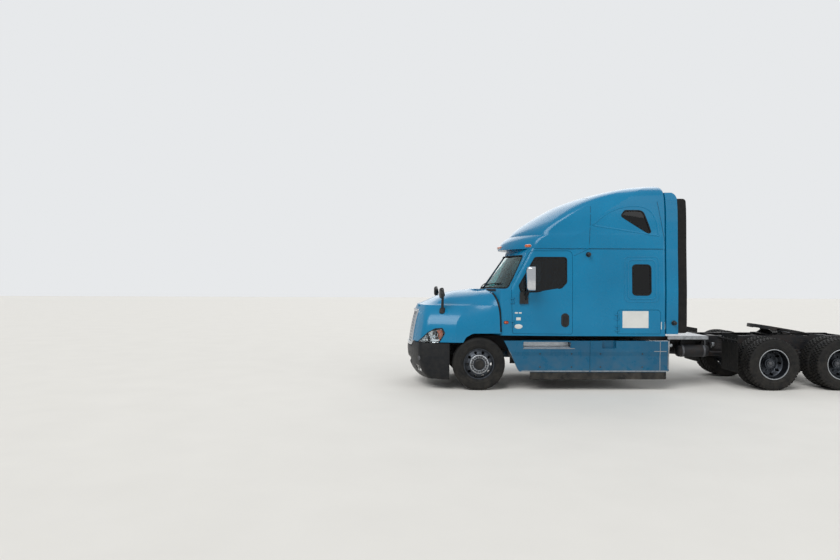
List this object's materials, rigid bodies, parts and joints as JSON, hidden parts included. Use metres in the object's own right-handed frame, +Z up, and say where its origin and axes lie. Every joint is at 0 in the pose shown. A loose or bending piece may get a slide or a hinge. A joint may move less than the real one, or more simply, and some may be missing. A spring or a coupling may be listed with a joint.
{
  "type": "semi truck tractor unit",
  "caption": "Long-nose highway tractor unit with a tall sleeper cab, tilting hood, opening doors, steered front wheels, tandem drive wheels and a tilting fifth wheel.",
  "frame": {"origin": "on the ground, in the middle of the truck's length and width", "axes": "+X towards the rear of the frame, -X the way the truck faces, +Y its right-hand side, +Z up"},
  "size_m": [9.0002, 2.99, 3.9499],
  "materials": {
    "paint": "gloss",
    "frame_paint": "semi-gloss",
    "chrome": "polished",
    "aluminium": "polished",
    "cast": "rough",
    "tyre": "matte",
    "rubber": "matte",
    "plastic": "matte",
    "interior": "matte",
    "fabric": "woven",
    "glass": "clear",
    "lens": "clear",
    "lining": "matte"
  },
  "bodies": {
    "chassis": {"rail_left": "frame_paint", "rail_right": "frame_paint", "crossmembers": "frame_paint", "engine": "cast", "drive_line": "cast", "front_axle": "cast", "suspension": "frame_paint", "fifth_wheel_base": "frame_paint", "deck_plate": "aluminium", "rear_fenders": "plastic", "mud_flaps": "rubber", "fuel_tanks": "aluminium", "side_boxes": "frame_paint", "fairing_left": "paint", "fairing_right": "paint", "bumper": "paint", "fog_lamps": "lens", "cab_front": "paint", "cab_side_left": "paint", "cab_side_right": "paint", "rear_wall": "paint", "cab_floor": "frame_paint", "roof": "paint", "windows": "glass", "side_extenders": "paint", "extender_edges": "rubber", "dashboard": "interior", "seats": "fabric", "bunk": "interior", "mattress": "fabric"},
    "hood": {"hood": "paint", "grille": "chrome", "headlights": "lens", "hood_mirrors": "chrome"},
    "door_left": {"door_left": "paint", "door_glass_left": "glass", "mirror_left": "chrome"},
    "door_right": {"door_right": "paint", "door_glass_right": "glass", "mirror_right": "chrome"},
    "luggage_door_left": {"luggage_door_left": "paint"},
    "luggage_door_right": {"luggage_door_right": "paint"},
    "steering_wheel": {"steering_wheel": "interior"},
    "knuckle_left": {"knuckle_left": "cast"},
    "knuckle_right": {"knuckle_right": "cast"},
    "tie_rod": {"tie_rod": "cast"},
    "front_wheel_left": {"front_wheel_left": "aluminium", "front_tyre_left": "tyre"},
    "front_wheel_right": {"front_wheel_right": "aluminium", "front_tyre_right": "tyre"},
    "fore_wheels_left": {"fore_wheels_left": "aluminium", "fore_tyres_left": "tyre"},
    "fore_wheels_right": {"fore_wheels_right": "aluminium", "fore_tyres_right": "tyre"},
    "aft_wheels_left": {"aft_wheels_left": "aluminium", "aft_tyres_left": "tyre"},
    "aft_wheels_right": {"aft_wheels_right": "aluminium", "aft_tyres_right": "tyre"},
    "fifth_wheel": {"fifth_wheel": "cast"}
  },
  "joints": [
    {"name": "hood_tilt", "type": "hinge", "parent": "chassis", "child": "hood", "pos_m": [-4.417, 0, 0.7], "axis": [0, -1, 0], "range_deg": [0, 60]},
    {"name": "door_left_swing", "type": "hinge", "parent": "chassis", "child": "door_left", "pos_m": [-2.495, -1.11907, 1.5], "axis": [0, 0, -1], "range_deg": [0, 65]},
    {"name": "door_right_swing", "type": "hinge", "parent": "chassis", "child": "door_right", "pos_m": [-2.495, 1.11907, 1.5], "axis": [0, 0, 1], "range_deg": [0, 65]},
    {"name": "luggage_left_swing", "type": "hinge", "parent": "chassis", "child": "luggage_door_left", "pos_m": [-0.52, -1.205, 1.3], "axis": [0, 0, -1], "range_deg": [0, 90]},
    {"name": "luggage_right_swing", "type": "hinge", "parent": "chassis", "child": "luggage_door_right", "pos_m": [-0.52, 1.205, 1.3], "axis": [0, 0, 1], "range_deg": [0, 90]},
    {"name": "steer_left", "type": "hinge", "parent": "chassis", "child": "knuckle_left", "pos_m": [-3.16, -0.9, 0.5], "axis": [0, 0, 1], "range_deg": [-40, 40]},
    {"name": "steer_right", "type": "hinge", "parent": "chassis", "child": "knuckle_right", "pos_m": [-3.16, 0.9, 0.5], "axis": [0, 0, 1], "range_deg": [-40, 40]},
    {"name": "tie_rod_pivot", "type": "hinge", "parent": "knuckle_left", "child": "tie_rod", "pos_m": [-2.93, -0.9, 0.4], "axis": [0, 0, 1], "range_deg": [-40, 40]},
    {"name": "steering_wheel_turn", "type": "hinge", "parent": "chassis", "child": "steering_wheel", "pos_m": [-2.15, -0.56, 1.83], "axis": [0.5446, 0, 0.8387], "range_deg": [-640, 640]},
    {"name": "front_roll_left", "type": "hinge", "parent": "knuckle_left", "child": "front_wheel_left", "pos_m": [-3.16, -1.037, 0.5], "axis": [0, 1, 0], "continuous": true},
    {"name": "front_roll_right", "type": "hinge", "parent": "knuckle_right", "child": "front_wheel_right", "pos_m": [-3.16, 1.037, 0.5], "axis": [0, 1, 0], "continuous": true},
    {"name": "fore_roll_left", "type": "hinge", "parent": "chassis", "child": "fore_wheels_left", "pos_m": [2.48, -0.916, 0.5], "axis": [0, 1, 0], "continuous": true},
    {"name": "fore_roll_right", "type": "hinge", "parent": "chassis", "child": "fore_wheels_right", "pos_m": [2.48, 0.916, 0.5], "axis": [0, 1, 0], "continuous": true},
    {"name": "aft_roll_left", "type": "hinge", "parent": "chassis", "child": "aft_wheels_left", "pos_m": [3.801, -0.916, 0.5], "axis": [0, 1, 0], "continuous": true},
    {"name": "aft_roll_right", "type": "hinge", "parent": "chassis", "child": "aft_wheels_right", "pos_m": [3.801, 0.916, 0.5], "axis": [0, 1, 0], "continuous": true},
    {"name": "fifth_wheel_tilt", "type": "hinge", "parent": "chassis", "child": "fifth_wheel", "pos_m": [3.13, 0, 1.048], "axis": [0, -1, 0], "range_deg": [0, 20]}
  ],
  "couplings": [
    {"joint": "steer_right", "follows": "steer_left", "ratio": 1},
    {"joint": "tie_rod_pivot", "follows": "steer_left", "ratio": -1},
    {"joint": "steering_wheel_turn", "follows": "steer_left", "ratio": 16}
  ]
}
